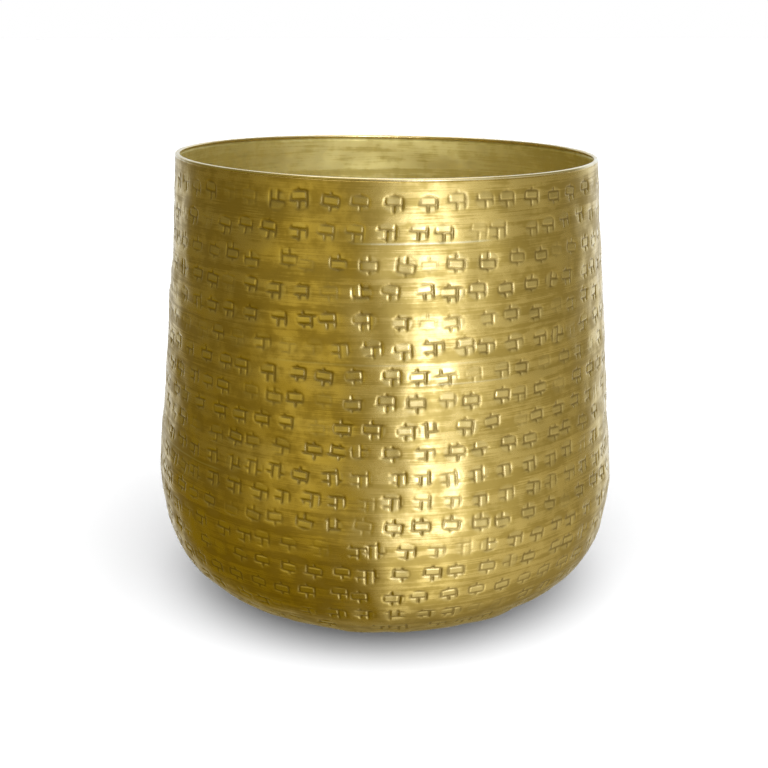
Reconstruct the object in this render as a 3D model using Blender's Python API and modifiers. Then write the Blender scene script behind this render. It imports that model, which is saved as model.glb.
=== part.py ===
"""A hammered brass planter pot: a spun sheet shell, a soldered rim ring and four stick-on felt pads.

Metres, +Z up. The origin is the centre of the plane that the pads stand on.
"""

from math import asin, atan2, cos, hypot, pi, radians, sin, tan

import bmesh
import bpy

# Driving dimensions
HEIGHT = 0.2185  # from the standing plane to the top of the rim ring
RIM_RADIUS = 0.100  # outer radius of the rim ring
BELLY_RADIUS = 0.1158  # the widest outer radius
SHEET = 0.0010  # thickness of the brass sheet
FIT_GAP = 0.0003  # left between pieces that touch

# Wall outline, from the mouth down: a straight cone, then three tangent arcs to the flat base
WALL_INSET = 0.0004  # how far the wall's top edge lies inside the rim ring's outer edge
BELLY_ARC = 0.105
CORNER_ARC = 0.046
HEEL_ARC = 0.058
BELLY_LEAN = radians(11)  # inward slope where the belly arc meets the corner arc
CORNER_LEAN = radians(62)  # inward slope where the corner arc meets the heel arc

# Rim ring: a flattened wire
RING_WIDTH = 0.0022
RING_HEIGHT = 0.0016
RING_SQUARENESS = 2.6  # 2 is an ellipse, and more is squarer

# Felt pads under the base
PAD_COUNT = 4
PAD_RADIUS = 0.006
PAD_THICKNESS = 0.0015
PAD_CIRCLE = 0.044
PAD_START = radians(45)
PAD_EDGE = 0.0003

# Mesh fineness
STEPS_ROUND = 72
WALL_STEPS = 4
BELLY_STEPS = 4
CORNER_STEPS = 7
HEEL_STEPS = 4
RING_POINTS = 12
PAD_SIDES = 24
MERGE = 0.00001

COLLECTION = "brass_planter_pot"


def clear_scene():
    for obj in list(bpy.data.objects):
        bpy.data.objects.remove(obj, do_unlink=True)


def make_material(name, colour, roughness, metallic):
    material = bpy.data.materials.new(name)
    material.use_nodes = True
    shader = material.node_tree.nodes["Principled BSDF"]
    shader.inputs["Base Color"].default_value = (*colour, 1.0)
    shader.inputs["Roughness"].default_value = roughness
    shader.inputs["Metallic"].default_value = metallic
    return material


def add_object(name, mesh, material, collection, parent):
    mesh.materials.append(material)
    obj = bpy.data.objects.new(name, mesh)
    obj.parent = parent
    collection.objects.link(obj)
    return obj


def profile_mesh(name, points, closed):
    """A line of (radius, z) points in the XZ plane, ready for a Screw modifier."""
    edges = [(i, i + 1) for i in range(len(points) - 1)]
    if closed:
        edges.append((len(points) - 1, 0))
    mesh = bpy.data.meshes.new(name)
    mesh.from_pydata([(radius, 0.0, z) for radius, z in points], edges, [])
    return mesh


def add_screw(obj):
    screw = obj.modifiers.new("turn", "SCREW")
    screw.steps = STEPS_ROUND
    screw.render_steps = STEPS_ROUND
    screw.use_merge_vertices = True
    screw.merge_threshold = MERGE
    screw.use_smooth_shade = True


def arc_points(start, radius, lean_from, lean_to, steps):
    """Points after start along an arc whose slope turns inwards, for a line that runs downwards.

    A lean is the line's angle from straight down, positive where it heads for the axis.
    """
    r, z = start
    points = []
    for i in range(1, steps + 1):
        lean = lean_from + (lean_to - lean_from) * i / steps
        points.append((
            r - radius * (cos(lean_from) - cos(lean)),
            z - radius * (sin(lean) - sin(lean_from)),
        ))
    return points


def wall_outline():
    """The shell's outer line, from its top edge down and in to the centre of the base."""
    top_r = RIM_RADIUS - WALL_INSET
    top_z = HEIGHT - RING_HEIGHT - FIT_GAP
    base_z = PAD_THICKNESS + FIT_GAP
    belly_z = (
        base_z
        + HEEL_ARC * (1 - sin(CORNER_LEAN))
        + CORNER_ARC * (sin(CORNER_LEAN) - sin(BELLY_LEAN))
        + BELLY_ARC * sin(BELLY_LEAN)
    )
    flare = cone_flare(top_r, top_z - belly_z)
    drop = top_z - belly_z - BELLY_ARC * sin(flare)
    points = []
    for i in range(WALL_STEPS + 1):
        down = drop * i / WALL_STEPS
        points.append((top_r + down * tan(flare), top_z - down))
    points += arc_points(points[-1], BELLY_ARC, -flare, BELLY_LEAN, BELLY_STEPS)
    points += arc_points(points[-1], CORNER_ARC, BELLY_LEAN, CORNER_LEAN, CORNER_STEPS)
    points += arc_points(points[-1], HEEL_ARC, CORNER_LEAN, pi / 2, HEEL_STEPS)
    base_r = points[-1][0]
    return points + [(base_r / 2, base_z), (0.0, base_z)]


def cone_flare(top_r, height):
    """The angle from the vertical of the line from the mouth's edge that touches the belly arc.

    height is the mouth's height above the belly arc's centre.
    """
    across = BELLY_RADIUS - BELLY_ARC - top_r
    return asin(BELLY_ARC / hypot(height, across)) + atan2(across, height)


def build_shell(collection, parent, material):
    mesh = profile_mesh("body_shell", wall_outline(), closed=False)
    shell = add_object("body_shell", mesh, material, collection, parent)
    add_screw(shell)
    sheet = shell.modifiers.new("sheet", "SOLIDIFY")
    sheet.thickness = SHEET
    sheet.offset = -1.0
    sheet.use_even_offset = True
    return shell


def build_rim_ring(collection, parent, material):
    centre_r = RIM_RADIUS - RING_WIDTH / 2
    centre_z = HEIGHT - RING_HEIGHT / 2
    points = []
    for i in range(RING_POINTS):
        angle = pi / 2 - 2 * pi * i / RING_POINTS
        power = 2 / RING_SQUARENESS
        across = abs(cos(angle)) ** power * (1 if cos(angle) > 0 else -1)
        up = abs(sin(angle)) ** power * (1 if sin(angle) > 0 else -1)
        points.append((centre_r + across * RING_WIDTH / 2, centre_z + up * RING_HEIGHT / 2))
    mesh = profile_mesh("rim_ring", points, closed=True)
    ring = add_object("rim_ring", mesh, material, collection, parent)
    add_screw(ring)
    return ring


def pad_mesh():
    mesh = bpy.data.meshes.new("foot_pad")
    shape = bmesh.new()
    bmesh.ops.create_cone(
        shape, cap_ends=True, segments=PAD_SIDES,
        radius1=PAD_RADIUS, radius2=PAD_RADIUS, depth=PAD_THICKNESS,
    )
    shape.to_mesh(mesh)
    shape.free()
    mesh.shade_smooth()
    mesh.set_sharp_from_angle(angle=radians(40))
    return mesh


def build_pads(collection, parent, material):
    mesh = pad_mesh()
    mesh.materials.append(material)
    for i in range(PAD_COUNT):
        angle = PAD_START + 2 * pi * i / PAD_COUNT
        pad = bpy.data.objects.new(f"foot_pad_{i + 1}", mesh)
        pad.parent = parent
        pad.location = (PAD_CIRCLE * cos(angle), PAD_CIRCLE * sin(angle), PAD_THICKNESS / 2)
        collection.objects.link(pad)
        edge = pad.modifiers.new("edge", "BEVEL")
        edge.width = PAD_EDGE
        edge.segments = 1


def main():
    clear_scene()
    collection = bpy.data.collections.new(COLLECTION)
    bpy.context.scene.collection.children.link(collection)
    axis = bpy.data.objects.new("pot_axis", None)
    collection.objects.link(axis)

    brass = make_material("satin_brass", (0.62, 0.47, 0.17), 0.32, 1.0)
    ring_brass = make_material("rim_brass", (0.72, 0.57, 0.26), 0.28, 1.0)
    felt = make_material("grey_felt", (0.10, 0.095, 0.09), 0.95, 0.0)

    build_shell(collection, axis, brass)
    build_rim_ring(collection, axis, ring_brass)
    build_pads(collection, axis, felt)


main()
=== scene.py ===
"""The looks of the hammered brass planter pot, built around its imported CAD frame. Metres, +Z up.

Angles round the pot are counted from the side that faces the camera (-Y), positive towards +X.
"""

from itertools import product
from math import asin, atan2, cos, hypot, pi, radians, sin

import bpy
import numpy as np
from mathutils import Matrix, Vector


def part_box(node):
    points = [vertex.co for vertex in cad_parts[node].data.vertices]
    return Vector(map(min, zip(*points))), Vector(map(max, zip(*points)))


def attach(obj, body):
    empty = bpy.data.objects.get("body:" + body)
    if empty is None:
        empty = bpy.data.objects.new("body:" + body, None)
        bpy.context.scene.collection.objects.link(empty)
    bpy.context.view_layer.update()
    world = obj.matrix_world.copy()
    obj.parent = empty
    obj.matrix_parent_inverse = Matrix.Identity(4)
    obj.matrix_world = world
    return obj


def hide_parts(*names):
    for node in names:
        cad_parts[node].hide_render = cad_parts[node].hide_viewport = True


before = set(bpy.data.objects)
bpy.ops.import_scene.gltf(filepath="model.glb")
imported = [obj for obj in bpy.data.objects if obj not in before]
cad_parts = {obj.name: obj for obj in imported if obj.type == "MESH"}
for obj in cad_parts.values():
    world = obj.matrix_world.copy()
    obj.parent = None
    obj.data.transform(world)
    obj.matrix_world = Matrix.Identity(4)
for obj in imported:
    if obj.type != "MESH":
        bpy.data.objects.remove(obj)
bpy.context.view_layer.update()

SHELL_LOW, SHELL_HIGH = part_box("body_shell")
RING_LOW, RING_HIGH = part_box("rim_ring")
PADS = ("foot_pad_1", "foot_pad_2", "foot_pad_3", "foot_pad_4")

# The wall's outline: a cone and three tangent arcs, as in the CAD part
BELLY_ARC = 0.113
CORNER_ARC = 0.0445
HEEL_ARC = 0.055
BELLY_LEAN = radians(11)
CORNER_LEAN = radians(61.5)
TOP_INSET = 0.0002  # the wall's top edge, inside the rim ring's outer edge
TOP_LAP = 0.0003  # how far the wall runs up into the rim ring
BELLY_INSET = 0.0029  # the beaten wall's mean line, inside the CAD's belly
SHEET = 0.0010

# The pot is a little uneven: at -X its mouth is highest and its wall bulges
RIM_DROP = 0.0021  # the front's mouth below the mouth's highest side
RIM_TILT = 0.0014
RIM_BEND = 0.00092
RIM_FADE = 0.020
BULGES = ((0.0011, 0.100, 0.046), (0.0020, 0.070, 0.0165))  # size, height and spread

# Mesh grid
COLUMNS = 1720
ROW_STEP = 0.00040
HALF_COLUMNS_FROM = 0.206  # distances along the outline from the top edge
PLAIN_FROM = 0.246
PLAIN_STEP = 0.0024
INSIDE_STEP = 0.0020

# Hammer marks: a punch whose face carries a herringbone of 2 by 1 bricks
SEED = 7
MARK_ROWS = 21  # the first 16 show in front
FIRST_ROW = 0.0084
ROW_PITCH = 0.01147
ROW_SWAY = 0.0025
SWAY_ROWS = 20
MARK_SPACING = 0.0126
UNIT = 0.0036  # a brick's short side
CORNER_ROUND = 0.0009
GROOVE_REACH = 0.00058  # from a brick's edge to where its groove begins
GROOVE_EDGE = 0.00045
UPRIGHT_WIDER = 1.4  # upright grooves are wider than level ones
PILLOW_REACH = 0.0014
PILLOW = 0.10
MARK_DEPTH = 0.00033
MARK_WIDE = 0.0045  # half the size of the punch's print
MARK_TALL = 0.0037
MARK_EDGE = 0.48  # the share of a print over which its edge fades
RIM_PRINT = 0.16  # how deep the punch's own edge cuts, where it leans
RIM_PRINT_AT, RIM_PRINT_WIDTH = 1.02, 0.10  # in half sizes of the print
DISH_DEPTH = 0.00020
DISH_REACH = 0.0050
DISH_FALL = 1.6
WINDOW = 2.2  # how far a mark is worked out, in dish reaches
HALF_CELL = (-0.25, 0.25)  # each grid cell is the mean of four samples
PRESS_GAIN = 1.2

# Chance in the marks. Spreads are standard deviations
ROW_PHASE = ((1.0, 0.3), (0.2, 0.3))  # a row's place in the pattern, in bricks: mean and spread
MARK_PHASE_SPREAD = 0.14
ODD_SHARE = 0.10  # marks that show any part of the pattern
PATTERN_PERIOD = 4
ROW_TURN_SPREAD = radians(1.5)
MARK_TURN_SPREAD = radians(2.5)
MARK_PLACE_SPREAD = 0.0005
MARK_STEP_SPREAD = 0.10  # of the spacing
MARK_SIZES = (0.88, 1.08)
MARK_LEAN_SPREAD = 0.9
FORCES = (1.0, 0.85, 0.65, 0.35)
FORCE_SHARES = (0.36, 0.3, 0.2, 0.14)

# The beaten sheet between the marks
UNEVEN = 0.00019
UNEVEN_PARTS = ((1.0, (13, 15)), (1.2, (32, 40)), (0.35, (6, 10)))  # share, and spread in cells
UNEVEN_FROM = 0.012  # it grows over this distance from the top edge
UNEVEN_UNTIL = 0.020  # and fades over this distance before the plain base
INSIDE_GROOVE = 0.35  # the share of a groove that shows inside
INSIDE_BLUR = 5.0

# The bead's flattened wire
WIRE_COLUMNS = 860
WIRE_SIDES = 24
WIRE_SQUARENESS = 2.6  # 2 is an ellipse, and more is squarer
WIRE_WIDTH = 0.0022
WIRE_FILL = 0.94  # the wire's mean size, as a share of the CAD ring's
WIRE_SWELL = 0.03
WIRE_INSET = 0.00012
WIRE_WANDER = 0.00004
WIRE_RIPPLE = 0.00003
WIRE_WAVE_SPREAD = 28
WIRE_STREAK_STEP = 0.0003  # the streaks' coordinate, from side to side of the wire

# Bright lines scribed round the wall: distance from the top edge, first angle, length and force
LINES = (
    (0.0247, -9, 35, 0.75),
    (0.0746, -30, 55, 0.25),
    (0.0832, 4, 26, 0.3),
    (0.0470, 95, 40, 0.8),
    (0.1128, 150, 60, 0.6),
    (0.0362, 215, 35, 0.7),
    (0.1290, 290, 30, 0.5),
)
LINE_WIDTH = 0.00030
LINE_ENDS = 8  # each end fades over an eighth of the line


# ---------------------------------------------------------------- the wall's outline


class Outline:
    """The wall's outer line by distance from its top edge: radius, height and lean."""

    def __init__(self):
        top_r = RING_HIGH.x - TOP_INSET
        top_z = RING_LOW.z + TOP_LAP - RIM_DROP
        base_z = SHELL_LOW.z
        belly_r = SHELL_HIGH.x - BELLY_INSET
        belly_z = (
            base_z
            + HEEL_ARC * (1 - sin(CORNER_LEAN))
            + CORNER_ARC * (sin(CORNER_LEAN) - sin(BELLY_LEAN))
            + BELLY_ARC * sin(BELLY_LEAN)
        )
        across, height = belly_r - BELLY_ARC - top_r, top_z - belly_z
        flare = asin(BELLY_ARC / hypot(height, across)) + atan2(across, height)
        leans = [-flare, -flare, BELLY_LEAN, CORNER_LEAN, pi / 2, pi / 2]
        lengths = [
            (height - BELLY_ARC * sin(flare)) / cos(flare),
            BELLY_ARC * (flare + BELLY_LEAN),
            CORNER_ARC * (CORNER_LEAN - BELLY_LEAN),
            HEEL_ARC * (pi / 2 - CORNER_LEAN),
        ]
        knots = np.cumsum([0.0, *lengths, top_r])
        self.fine = np.linspace(0.0, knots[-1], 8001)
        self.fine_lean = np.interp(self.fine, knots, leans)
        self.fine_r = top_r - running_sum(np.sin(self.fine_lean), self.fine)
        self.fine_z = top_z - running_sum(np.cos(self.fine_lean), self.fine)
        self.length = float(np.interp(0.0, -self.fine_r, self.fine))

    def at(self, distance):
        return (
            np.interp(distance, self.fine, self.fine_r),
            np.interp(distance, self.fine, self.fine_z),
            np.interp(distance, self.fine, self.fine_lean),
        )


def running_sum(values, places):
    steps = np.diff(places) * (values[1:] + values[:-1]) / 2
    return np.concatenate([[0.0], np.cumsum(steps)])


# ---------------------------------------------------------------- the beaten surface


def smooth_step(value):
    value = np.clip(value, 0.0, 1.0)
    return value * value * (3 - 2 * value)


def rim_rise(angles):
    """How far the mouth's edge stands above its height at the front."""
    side = -np.sin(angles)
    return RIM_TILT * side + RIM_BEND * (np.sqrt(side**2 + 0.09) - 0.3)


def bulge(angles, height):
    """How far the wall stands out at -X."""
    side = np.maximum(-np.sin(angles), 0) ** 2
    stands = sum(
        size * np.exp(-(((height - middle) / spread) ** 2) / 2) for size, middle, spread in BULGES
    )
    return stands * side


def herringbone(across, up, phase):
    """How deep each place of the punch's face prints, from 0 on a brick to 1 in a groove."""
    p, q = across / UNIT + phase[0], up / UNIT + phase[1]
    column, row = np.floor(p), np.floor(q)
    kind = (column - row) % PATTERN_PERIOD
    level = kind < 2
    left = column - (kind == 1)
    low = row - (kind == 2)
    wide, tall = np.where(level, 2, 1), np.where(level, 1, 2)
    inset_x = np.minimum(p - left, left + wide - p) * UNIT / UPRIGHT_WIDER
    inset_y = np.minimum(q - low, low + tall - q) * UNIT
    corner_x = np.maximum(CORNER_ROUND - inset_x, 0)
    corner_y = np.maximum(CORNER_ROUND - inset_y, 0)
    deepest = np.minimum(np.maximum(CORNER_ROUND - inset_x, CORNER_ROUND - inset_y), 0)
    from_edge = CORNER_ROUND - np.hypot(corner_x, corner_y) - deepest
    groove = smooth_step((GROOVE_REACH - from_edge) / GROOVE_EDGE)
    pillow = smooth_step(1 - from_edge / PILLOW_REACH)
    return groove * (1 - PILLOW) + pillow * PILLOW


def hammer_marks(outline, rng):
    """Each mark's place along the outline and round the pot, turn, phase, size, lean and force."""
    for row in range(MARK_ROWS):
        place = FIRST_ROW + row * ROW_PITCH + ROW_SWAY * sin(2 * pi * row / SWAY_ROWS)
        radius = float(outline.at(place)[0])
        count = round(2 * pi * radius / MARK_SPACING)
        start = rng.uniform(0, 2 * pi)
        row_phase = rng.normal(*ROW_PHASE)
        tilt = rng.normal(0, ROW_TURN_SPREAD)
        for k in range(count):
            phase = row_phase + rng.normal(0, MARK_PHASE_SPREAD, 2)
            if rng.random() < ODD_SHARE:
                phase = rng.uniform(0, PATTERN_PERIOD, 2)
            yield (
                place + rng.normal(0, MARK_PLACE_SPREAD),
                start + (k + rng.normal(0, MARK_STEP_SPREAD)) * 2 * pi / count,
                tilt + rng.normal(0, MARK_TURN_SPREAD),
                phase,
                rng.uniform(*MARK_SIZES),
                rng.normal(0, MARK_LEAN_SPREAD),
                rng.choice(FORCES, p=FORCE_SHARES),
            )


def beat(outline, rows, rng):
    """The marks on the grid: their grooves and where they press, from 0 to 1, and their dishes."""
    groove = np.zeros((len(rows), COLUMNS))
    press = np.zeros((len(rows), COLUMNS))
    dish = np.zeros((len(rows), COLUMNS))
    radii = outline.at(rows)[0]
    step = 2 * pi / COLUMNS
    window = WINDOW * DISH_REACH
    for place, angle, turn, phase, size, lean, force in hammer_marks(outline, rng):
        first, last = np.searchsorted(rows, (place - window, place + window))
        radius = radii[min((first + last) // 2, len(rows) - 1)]
        middle = angle / step
        half = int(window / (radius * step)) + 1
        columns = np.arange(int(middle) - half, int(middle) + half + 1)
        cut = 0.0
        for shift_x, shift_y in product(HALF_CELL, HALF_CELL):
            across = (columns - middle + shift_x)[None, :] * step * radii[first:last, None]
            up = (place - rows[first:last] + shift_y * ROW_STEP)[:, None] + 0 * across
            x = across * cos(turn) + up * sin(turn)
            y = up * cos(turn) - across * sin(turn)
            far = np.hypot(x / MARK_WIDE, y / MARK_TALL) / size
            facing = np.maximum(np.cos(np.arctan2(y, x) - lean), 0)
            near_edge = np.exp(-(((far - RIM_PRINT_AT) / RIM_PRINT_WIDTH) ** 2))
            print_edge = near_edge * facing**2 * RIM_PRINT
            pressed = smooth_step((1 - far) / MARK_EDGE + 0.5)
            cut = cut + np.maximum(herringbone(x, y, phase) * pressed, print_edge) * force / 4
        cells = np.ix_(np.arange(first, last), columns % COLUMNS)
        groove[cells] = np.maximum(groove[cells], cut)
        press[cells] = np.maximum(press[cells], pressed * min(1.0, force * PRESS_GAIN))
        dish[cells] += force * np.exp(-((np.hypot(across, up) / DISH_REACH) ** 2) * DISH_FALL)
    return groove, press, dish


def scribed_lines(rows):
    """Where the bright lines are, from 0 to 1."""
    angles = np.arange(COLUMNS) * 2 * pi / COLUMNS
    lines = np.zeros((len(rows), COLUMNS))
    for place, first, length, force in LINES:
        along = (angles - radians(first)) % (2 * pi) / radians(length)
        shown = smooth_step(along * LINE_ENDS) * smooth_step((1 - along) * LINE_ENDS)
        across = np.exp(-(((rows - place) / LINE_WIDTH) ** 2))
        lines = np.maximum(lines, force * across[:, None] * shown[None, :])
    return lines


def soft_noise(shape, spreads, rng):
    """Seamless random relief with unit spread, smoothed over the given numbers of cells."""
    waves = np.fft.rfft2(rng.standard_normal(shape))
    down = np.fft.fftfreq(shape[0])[:, None] * spreads[0]
    along = np.fft.rfftfreq(shape[1])[None, :] * spreads[1]
    field = np.fft.irfft2(waves * np.exp(-2 * pi**2 * (down**2 + along**2)), s=shape)
    return field / field.std()


def blurred(field, cells):
    """The relief with its fine detail taken out, as it shows on the sheet's other side."""
    waves = np.fft.rfft2(field)
    down = np.fft.fftfreq(field.shape[0])[:, None] * cells
    along = np.fft.rfftfreq(field.shape[1])[None, :] * cells
    return np.fft.irfft2(waves * np.exp(-2 * pi**2 * (down**2 + along**2)), s=field.shape)


# ---------------------------------------------------------------- meshes made of rings


# What each point of a skin carries for its material; arc is its distance from the top edge
SURFACE = ("groove", "press", "line", "arc")


class RingMesh:
    """A skin made of rings of points, each joined to the ring before it."""

    def __init__(self):
        self.points, self.values, self.faces, self.finishes = [], [], [], []
        self.count = 0
        self.last = None

    def ring(self, points, values, finish=0):
        """Adds a ring of points, with a row of values for each point's surface attributes."""
        here = np.arange(self.count, self.count + len(points))
        self.points.append(points)
        self.values.append(values)
        self.count += len(points)
        if self.last is not None:
            self.join(self.last, here, finish)
        self.last = here
        return here

    def join(self, upper, lower, finish=0):
        if len(upper) == 1:
            faces = np.stack([lower * 0 + upper[0], lower, np.roll(lower, -1)], 1)
        elif len(lower) == 1:
            faces = np.stack([upper, upper * 0 + lower[0], np.roll(upper, -1)], 1)
        elif len(upper) >= len(lower):
            faces = self.fan(lower, upper)[:, ::-1]
        else:
            faces = self.fan(upper, lower)
        self.faces.append(faces)
        self.finishes.append(np.full(len(faces), finish))

    @staticmethod
    def fan(few, many):
        """One face for each stretch of the ring with fewer points."""
        share = len(many) // len(few)
        starts = np.arange(len(few)) * share
        sides = [few]
        for k in range(share + 1):
            sides.append(many[(starts + k) % len(many)])
        sides.append(np.roll(few, -1))
        return np.stack(sides, 1)

    def build(self, name):
        points = np.concatenate(self.points)
        values = np.concatenate(self.values)
        loops = np.concatenate([f.ravel() for f in self.faces])
        sizes = np.concatenate([np.full(len(f), f.shape[1]) for f in self.faces])
        starts = np.cumsum(sizes) - sizes
        mesh = bpy.data.meshes.new(name)
        mesh.vertices.add(len(points))
        mesh.vertices.foreach_set("co", points.astype(np.float32).ravel())
        mesh.loops.add(len(loops))
        mesh.loops.foreach_set("vertex_index", loops.astype(np.int32))
        mesh.polygons.add(len(sizes))
        mesh.polygons.foreach_set("loop_start", starts.astype(np.int32))
        mesh.polygons.foreach_set("material_index", np.concatenate(self.finishes).astype(np.int32))
        mesh.update(calc_edges=True)
        mesh.shade_smooth()
        for i, attribute_name in enumerate(SURFACE):
            layer = mesh.attributes.new(attribute_name, "FLOAT", "POINT")
            layer.data.foreach_set("value", values[:, i].astype(np.float32))
        obj = bpy.data.objects.new(name, mesh)
        bpy.context.collection.objects.link(obj)
        return obj


def round_points(radii, heights, angles):
    return np.stack([radii * np.sin(angles), -radii * np.cos(angles), heights + 0 * angles], 1)


# ---------------------------------------------------------------- the pieces


def make_shell():
    rng = np.random.default_rng(SEED)
    outline = Outline()
    rows = np.concatenate([
        np.arange(0.0, PLAIN_FROM, ROW_STEP),
        np.arange(PLAIN_FROM, outline.length - PLAIN_STEP / 2, PLAIN_STEP),
    ])
    stamped = int(np.searchsorted(rows, PLAIN_FROM))
    groove, press, dish = beat(outline, rows, rng)
    line = scribed_lines(rows)
    uneven = sum(
        share * soft_noise((stamped, COLUMNS), spreads, rng) for share, spreads in UNEVEN_PARTS
    )
    fade_in = smooth_step(rows[:stamped] / UNEVEN_FROM)[:, None]
    fade_out = smooth_step((PLAIN_FROM - rows[:stamped]) / UNEVEN_UNTIL)[:, None]
    relief = np.zeros((len(rows), COLUMNS))
    relief[:stamped] = UNEVEN * uneven * fade_in * fade_out
    relief -= DISH_DEPTH * dish
    inner_relief = blurred(relief - MARK_DEPTH * INSIDE_GROOVE * groove, INSIDE_BLUR)
    relief -= MARK_DEPTH * groove

    radii, heights, leans = outline.at(rows)
    angles = np.arange(COLUMNS) * 2 * pi / COLUMNS
    skin = RingMesh()

    def skin_ring(i, step, offset, height_field, finish):
        angle = angles[::step]
        out = height_field[i, ::step] + offset + bulge(angle, heights[i])
        points = round_points(
            radii[i] + out * cos(leans[i]), heights[i] - out * sin(leans[i]), angle
        )
        points[:, 2] += rim_rise(angle) * smooth_step(1 - rows[i] / RIM_FADE)
        outer = 1.0 if finish == 0 else 0.0
        arc = np.full(len(angle), rows[i])
        marks = [field[i, ::step] * outer for field in (groove, press, line)]
        skin.ring(points, np.stack([*marks, arc], 1), finish)

    inside_rows = np.arange(0, stamped, round(INSIDE_STEP / ROW_STEP))
    inside_rows = np.concatenate([inside_rows, np.arange(stamped, len(rows))])
    centre = np.array([[0.0, 0.0, SHELL_LOW.z + SHEET]])
    skin.ring(centre, np.array([[0.0, 0.0, 0.0, outline.length]]), 1)
    for i in inside_rows[::-1]:
        skin_ring(i, 4 if rows[i] < PLAIN_FROM else 8, -SHEET, inner_relief, 1)
    for i in range(len(rows)):
        if rows[i] < HALF_COLUMNS_FROM:
            step = 1
        else:
            step = 2 if i < stamped else 8
        skin_ring(i, step, 0.0, relief, 0)
    centre = np.array([[0.0, 0.0, SHELL_LOW.z]])
    skin.ring(centre, np.array([[0.0, 0.0, 0.0, outline.length]]), 0)
    shell = skin.build("hammered_shell")
    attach(shell, "root")
    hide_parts("body_shell")
    return shell


def make_rim():
    """The flattened wire soldered round the mouth, a little uneven."""
    rng = np.random.default_rng(SEED + 1)
    angles = np.arange(WIRE_COLUMNS) * 2 * pi / WIRE_COLUMNS
    height = RING_HIGH.z - RING_LOW.z
    wave = soft_noise((8, WIRE_COLUMNS), (1, WIRE_WAVE_SPREAD), rng)
    half_width = WIRE_WIDTH / 2 * (WIRE_FILL + WIRE_SWELL * wave[1])
    half_height = height / 2 * (WIRE_FILL + WIRE_SWELL * wave[2])
    middle_r = RING_HIGH.x - WIRE_INSET - WIRE_WIDTH / 2 + WIRE_WANDER * wave[0]
    middle_z = RING_HIGH.z - RIM_DROP - height / 2 + rim_rise(angles) + WIRE_RIPPLE * wave[3]
    bead = RingMesh()
    rings = []
    for k in range(WIRE_SIDES):
        turn = pi / 2 - 2 * pi * k / WIRE_SIDES
        across = abs(cos(turn)) ** (2 / WIRE_SQUARENESS) * (1 if cos(turn) > 0 else -1)
        up = abs(sin(turn)) ** (2 / WIRE_SQUARENESS) * (1 if sin(turn) > 0 else -1)
        points = round_points(middle_r + across * half_width, middle_z + up * half_height, angles)
        values = np.zeros((WIRE_COLUMNS, len(SURFACE)))
        values[:, -1] = k * WIRE_STREAK_STEP
        rings.append(bead.ring(points, values))
    bead.join(rings[-1], rings[0])
    rim = bead.build("rim_bead")
    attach(rim, "root")
    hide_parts("rim_ring")
    return rim


# ---------------------------------------------------------------- materials


class Nodes:
    """Short names for building a node tree."""

    def __init__(self, tree):
        self.tree = tree

    def add(self, kind, **settings):
        node = self.tree.nodes.new(kind)
        for key, value in settings.items():
            setattr(node, key, value)
        return node

    def feed(self, socket, value):
        if isinstance(value, bpy.types.NodeSocket):
            self.tree.links.new(value, socket)
        else:
            socket.default_value = value

    def math(self, operation, first, second=0.0):
        node = self.add("ShaderNodeMath", operation=operation)
        self.feed(node.inputs[0], first)
        self.feed(node.inputs[1], second)
        return node.outputs[0]

    def ranged(self, value, low, high, to_low=0.0, to_high=1.0):
        """A smooth step from to_low to to_high while value goes from low to high."""
        node = self.add("ShaderNodeMapRange", interpolation_type="SMOOTHSTEP")
        for socket, number in zip(node.inputs, (value, low, high, to_low, to_high)):
            self.feed(socket, number)
        return node.outputs[0]

    def mix(self, share, first, second, blend="MIX"):
        node = self.add("ShaderNodeMix", data_type="RGBA", blend_type=blend)
        self.feed(node.inputs[0], share)
        self.feed(node.inputs[6], first)
        self.feed(node.inputs[7], second)
        return node.outputs[2]

    def noise(self, vector, scale, detail, roughness=0.5):
        node = self.add("ShaderNodeTexNoise")
        self.feed(node.inputs["Vector"], vector)
        self.feed(node.inputs["Scale"], scale)
        self.feed(node.inputs["Detail"], detail)
        self.feed(node.inputs["Roughness"], roughness)
        return node.outputs["Fac"]

    def attribute(self, name):
        return self.add("ShaderNodeAttribute", attribute_name=name).outputs["Fac"]

    def bump(self, height, distance, strength=1.0, normal=None):
        node = self.add("ShaderNodeBump")
        self.feed(node.inputs["Strength"], strength)
        self.feed(node.inputs["Distance"], distance)
        self.feed(node.inputs["Height"], height)
        if normal is not None:
            self.feed(node.inputs["Normal"], normal)
        return node.outputs["Normal"]


def new_material(name):
    material = bpy.data.materials.new(name)
    material.use_nodes = True
    shader = material.node_tree.nodes["Principled BSDF"]
    return material, Nodes(material.node_tree), shader


# The brass's streaks and patches: how fast they run down the wall, and their noise's scale
FINE_STREAKS = (60.0, 40.0)
BROAD_STREAKS = (20.0, 16.0)
PATCHES = (3.0, 14.0)
SPECK_SCALE = 420.0
MOTTLE_SCALE = 110.0
FINE_SHARE, BROAD_SHARE = 0.4, 0.6
STREAK_CONTRAST = 2.6
LEAST_BRUSHED = 0.3
TONE_LOW, TONE_HIGH = 0.35, 0.65
# Prints are lighter in colour: partly burnished metal, partly painted sheen standing in for their
# flat faces catching the light
BURNISH_AND_SHEEN_SHARE = 0.48
# Painted shade: the grooves' colour is darkened where they are deep, standing in for the shade and
# dark reflections in them
GROOVE_SHADE_FROM, GROOVE_SHADE_FULL = 0.10, 0.75  # depths of a groove
GROOVE_SHADE_SHARE = 0.56
# What each one takes off the roughness, and what a groove adds
STREAK_SHINE, PRESSED_SHINE, MOTTLE_SHINE = 0.25, 0.07, 0.5
GROOVE_DULLNESS = 0.14
BROAD_HEIGHT = 4  # broad streaks' height, in fine ones
PRESSED_GRAIN = 0.4  # the grain that a print leaves

BURNISH_AND_SHEEN = (0.92, 0.72, 0.30)
SCRIBED = (1.0, 0.90, 0.55)
# The colour of the painted shade in the grooves
GROOVE_SHADE = (0.24, 0.145, 0.025)


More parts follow.
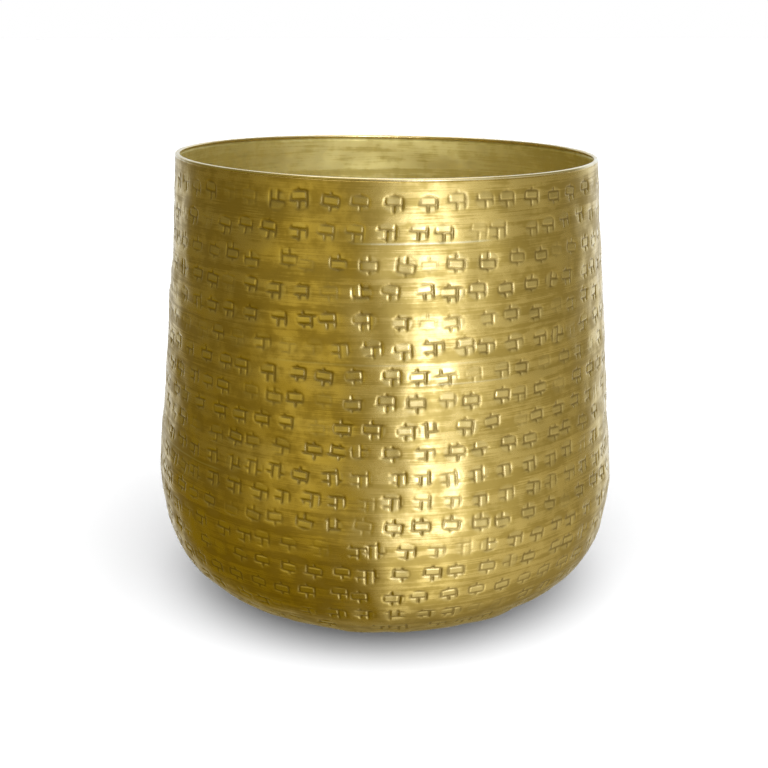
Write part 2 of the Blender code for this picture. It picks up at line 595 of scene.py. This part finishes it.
def along_wall(n, speed):
    """A coordinate for lathe streaks: slow round the pot, and fast down its wall."""
    place = n.add("ShaderNodeTexCoord").outputs["Object"]
    split = n.add("ShaderNodeSeparateXYZ")
    n.feed(split.inputs[0], place)
    joined = n.add("ShaderNodeCombineXYZ")
    n.feed(joined.inputs[0], split.outputs[0])
    n.feed(joined.inputs[1], split.outputs[1])
    n.feed(joined.inputs[2], n.math("MULTIPLY", n.attribute("arc"), speed))
    return joined.outputs[0]


def brass_material(name, dark, light, roughness, streak, grain):
    """Brushed brass: streaks round the pot, a fine grain, prints lighter in colour (partly
    burnished metal, partly painted sheen) and grooves darkened with painted shade.

    dark and light are its colours, and streak and grain are bump heights in metres.
    """
    material, n, shader = new_material(name)
    place = n.add("ShaderNodeTexCoord").outputs["Object"]
    fine = n.noise(along_wall(n, FINE_STREAKS[0]), FINE_STREAKS[1], 3.0, 0.6)
    broad = n.noise(along_wall(n, BROAD_STREAKS[0]), BROAD_STREAKS[1], 3.0)
    patch = n.noise(along_wall(n, PATCHES[0]), PATCHES[1], 2.0)
    speck = n.noise(place, SPECK_SCALE, 3.0, 0.6)
    mottle = n.noise(place, MOTTLE_SCALE, 4.0, 0.6)
    cut, pressed = n.attribute("groove"), n.attribute("press")
    brushed = n.ranged(patch, 0.35, 0.65, LEAST_BRUSHED, 1.0)
    lines = n.math(
        "ADD", n.math("MULTIPLY", broad, BROAD_SHARE), n.math("MULTIPLY", fine, FINE_SHARE)
    )
    contrast = n.math("MULTIPLY", brushed, STREAK_CONTRAST)
    lines = n.math("MULTIPLY", n.math("SUBTRACT", lines, 0.5), contrast)
    tone = n.math("ADD", mottle, lines)
    colour = n.mix(n.ranged(tone, TONE_LOW, TONE_HIGH), (*dark, 1.0), (*light, 1.0))
    # Lighter colour on the prints: burnished metal and painted sheen
    colour = n.mix(n.math("MULTIPLY", pressed, BURNISH_AND_SHEEN_SHARE), colour, (*BURNISH_AND_SHEEN, 1.0))
    # Painted shade in the grooves, darker where they are deeper
    painted_groove_shade = n.ranged(cut, GROOVE_SHADE_FROM, GROOVE_SHADE_FULL, 0.0, GROOVE_SHADE_SHARE)
    colour = n.mix(painted_groove_shade, colour, (*GROOVE_SHADE, 1.0))
    colour = n.mix(n.attribute("line"), colour, (*SCRIBED, 1.0))
    n.feed(shader.inputs["Base Color"], colour)
    shader.inputs["Metallic"].default_value = 1.0
    uneven = n.math("SUBTRACT", mottle, 0.5)
    rough = n.math("SUBTRACT", roughness, n.math("MULTIPLY", lines, STREAK_SHINE))
    rough = n.math("SUBTRACT", rough, n.math("MULTIPLY", pressed, PRESSED_SHINE))
    rough = n.math("SUBTRACT", rough, n.math("MULTIPLY", uneven, MOTTLE_SHINE))
    rough = n.math("ADD", rough, n.math("MULTIPLY", cut, GROOVE_DULLNESS))
    n.feed(shader.inputs["Roughness"], rough)
    normal = n.bump(fine, streak, brushed)
    normal = n.bump(broad, streak * BROAD_HEIGHT, brushed, normal)
    normal = n.bump(speck, grain, n.ranged(pressed, 0, 1, 1.0, PRESSED_GRAIN), normal)
    n.feed(shader.inputs["Normal"], normal)
    return material


def felt_material():
    material, n, shader = new_material("grey_felt_fibres")
    place = n.add("ShaderNodeTexCoord").outputs["Object"]
    fibres = n.noise(place, 3000.0, 4.0, 0.7)
    colour = n.mix(n.ranged(fibres, 0.3, 0.7), (0.06, 0.057, 0.054, 1.0), (0.15, 0.143, 0.135, 1.0))
    n.feed(shader.inputs["Base Color"], colour)
    n.feed(shader.inputs["Roughness"], n.ranged(fibres, 0.2, 0.8, 0.85, 1.0))
    n.feed(shader.inputs["Normal"], n.bump(fibres, 0.0002))
    return material


# ---------------------------------------------------------------- the studio


CAMERA_BACK = 5.7  # rim radii before the mouth's centre
CAMERA_RISE = 0.571  # rim radii above the front of the mouth
CAMERA_PITCH = radians(16.85)
LENS = 55.02
SENSOR = 36.0
SHIFT = -0.0038


def make_camera():
    rim = RING_HIGH.x
    camera = bpy.data.objects.new("camera", bpy.data.cameras.new("camera"))
    camera.location = (0.0, -CAMERA_BACK * rim, RING_HIGH.z - RIM_DROP + CAMERA_RISE * rim)
    camera.rotation_euler = (pi / 2 - CAMERA_PITCH, 0.0, 0.0)
    camera.data.sensor_width = SENSOR
    camera.data.lens = LENS
    camera.data.shift_x = SHIFT
    camera.data.clip_start = 0.01
    bpy.context.collection.objects.link(camera)
    bpy.context.scene.camera = camera


FLOOR_REACH = 30


def make_floor():
    mesh = bpy.data.meshes.new("floor")
    reach = FLOOR_REACH
    corners = [(-reach, -reach, 0), (reach, -reach, 0), (reach, reach, 0), (-reach, reach, 0)]
    mesh.from_pydata(corners, [], [(0, 1, 2, 3)])
    floor = bpy.data.objects.new("floor", mesh)
    material, _, shader = new_material("white_paper")
    shader.inputs["Base Color"].default_value = (0.9, 0.9, 0.9, 1.0)
    shader.inputs["Roughness"].default_value = 0.9
    shader.inputs["Specular IOR Level"].default_value = 0.0
    mesh.materials.append(material)
    floor.visible_glossy = False
    bpy.context.collection.objects.link(floor)


# The studio that the metal mirrors. Each soft panel: its angle from the camera's side and half
# width in degrees, its height and half height as sines of the angle above the horizon, its
# strength and colour
WHITE = (0.86, 1.05, 2.20)
COOL = (0.95, 1.04, 1.20)
YELLOW = (1.0, 0.93, 0.36)
PANELS = (
    (21, 8, -0.15, 0.16, 2.70, WHITE),
    (20, 14, -0.10, 1.15, 0.90, COOL),
    (34, 31, -0.10, 1.15, 0.54, COOL),
    (-38, 24, -0.08, 0.30, 0.36, YELLOW),
    (84, 36, -0.60, 0.60, 0.34, COOL),
)
AMBIENT = 0.20
WARM = (1.0, 0.90, 0.42)  # the room's colour above the horizon
WARMER = (1.0, 0.80, 0.06)  # and below it
LOW_FROM, LOW_TO = 0.02, -0.38  # where the one gives way to the other, as sines
OVERHEAD = 2.1
OVERHEAD_FROM = 0.75
BACKDROP_RIGHT = 0.97
BACKDROP_LEFT = 0.86
BACKDROP_TURN = 5  # degrees
BACKDROP_FROM = 120  # degrees from the camera's side: where it begins and is full
BACKDROP_FULL = 146
BACKDROP_LOW, BACKDROP_HIGH = -0.72, -0.30  # between these sines it fades downwards
BACKDROP_BELOW = 0.12  # to this share
FILL = 0.052  # the light that the paper gets from all round

SUN_ANGLE = radians(100)
SUN_ENERGY = 5.1
SUN_TURN = (radians(32), radians(7), 0.0)
MOUTH_LAMP_SIZE = (0.036, 0.012)
MOUTH_LAMP_ENERGY = 0.022
MOUTH_LAMP_PLACE = (0.002, -0.01, RING_HIGH.z - 0.012)
MOUTH_LAMP_TURN = (radians(90), 0.0, radians(10))


def make_world():
    """Soft panels before a white backdrop in dim warm surroundings; the camera sees plain white."""
    world = bpy.data.worlds.new("studio")
    bpy.context.scene.world = world
    world.use_nodes = True
    n = Nodes(world.node_tree)
    background = world.node_tree.nodes["Background"]
    split = n.add("ShaderNodeSeparateXYZ")
    n.feed(split.inputs[0], n.add("ShaderNodeTexCoord").outputs["Generated"])
    x, y, up = split.outputs
    angle = n.math("ARCTAN2", x, n.math("MULTIPLY", y, -1.0))

    def falloff(value, middle, half):
        away = n.math("DIVIDE", n.math("SUBTRACT", value, middle), half)
        return n.math("EXPONENT", n.math("MULTIPLY", n.math("MULTIPLY", away, away), -1.0))

    low = n.ranged(up, LOW_FROM, LOW_TO)
    light = n.mix(low, [AMBIENT * c for c in WARM] + [1.0], [AMBIENT * c for c in WARMER] + [1.0])
    for middle, half, height, half_height, strength, colour in PANELS:
        glow = falloff(angle, radians(middle), radians(half))
        glow = n.math("MULTIPLY", glow, falloff(up, height, half_height))
        light = n.mix(glow, light, [strength * c for c in colour] + [1.0], "ADD")
    turned = n.math("ABSOLUTE", n.math("ADD", angle, radians(BACKDROP_TURN)))
    behind = n.ranged(turned, radians(BACKDROP_FROM), radians(BACKDROP_FULL))
    behind = n.math("MULTIPLY", behind, n.ranged(up, BACKDROP_LOW, BACKDROP_HIGH, BACKDROP_BELOW))
    right = n.ranged(angle, -1.0, 1.0)
    backdrop = n.mix(
        right, [BACKDROP_LEFT * c for c in COOL] + [1.0], [BACKDROP_RIGHT * c for c in COOL] + [1.0]
    )
    light = n.mix(behind, light, backdrop)
    above = n.ranged(up, OVERHEAD_FROM, 1.0)
    light = n.mix(above, light, (OVERHEAD, OVERHEAD, OVERHEAD, 1.0))
    path = n.add("ShaderNodeLightPath").outputs
    light = n.mix(path["Is Diffuse Ray"], light, (FILL, FILL, FILL, 1.0))
    n.feed(background.inputs["Color"], n.mix(path["Is Camera Ray"], light, (1.0, 1.0, 1.0, 1.0)))


def make_lamps():
    """A broad light for the floor that the metal doesn't mirror, and a small one in the mouth."""
    high = bpy.data.objects.new("high_light", bpy.data.lights.new("high_light", "SUN"))
    high.data.angle = SUN_ANGLE
    high.data.energy = SUN_ENERGY
    high.rotation_euler = SUN_TURN
    high.visible_glossy = False
    high.data.cycles.use_multiple_importance_sampling = False  # or it would shine through the brass
    low = bpy.data.objects.new("mouth_light", bpy.data.lights.new("mouth_light", "AREA"))
    low.data.shape = "RECTANGLE"
    low.data.size, low.data.size_y = MOUTH_LAMP_SIZE
    low.data.energy = MOUTH_LAMP_ENERGY
    low.location = MOUTH_LAMP_PLACE
    low.rotation_euler = MOUTH_LAMP_TURN
    low.visible_camera = False
    for lamp in (high, low):
        bpy.context.collection.objects.link(lamp)


# ---------------------------------------------------------------- putting it together


make_camera()
make_floor()
make_world()
make_lamps()
bpy.context.scene.view_settings.view_transform = "Standard"

outside = brass_material(
    "satin_hammered_brass", (0.60, 0.42, 0.10), (0.84, 0.61, 0.19), 0.32, 0.000016, 0.00003
)
# The inside's paler brass is partly raw unpolished metal and partly painted light, standing in for
# the light that reaches into the mouth
inside = brass_material(
    "inside_brass", (0.72, 0.61, 0.22), (0.86, 0.76, 0.34), 0.58, 0.00001, 0.00003
)
edge = brass_material(
    "burnished_edge_brass", (0.76, 0.60, 0.28), (0.88, 0.73, 0.40), 0.24, 0.000008, 0.00001
)

shell = make_shell()
shell.data.materials.append(outside)
shell.data.materials.append(inside)
rim = make_rim()
rim.data.materials.append(edge)
shell.visible_diffuse = rim.visible_diffuse = False  # their glow would tint the paper
felt = felt_material()
for pad in PADS:
    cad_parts[pad].data.materials.clear()
    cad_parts[pad].data.materials.append(felt)
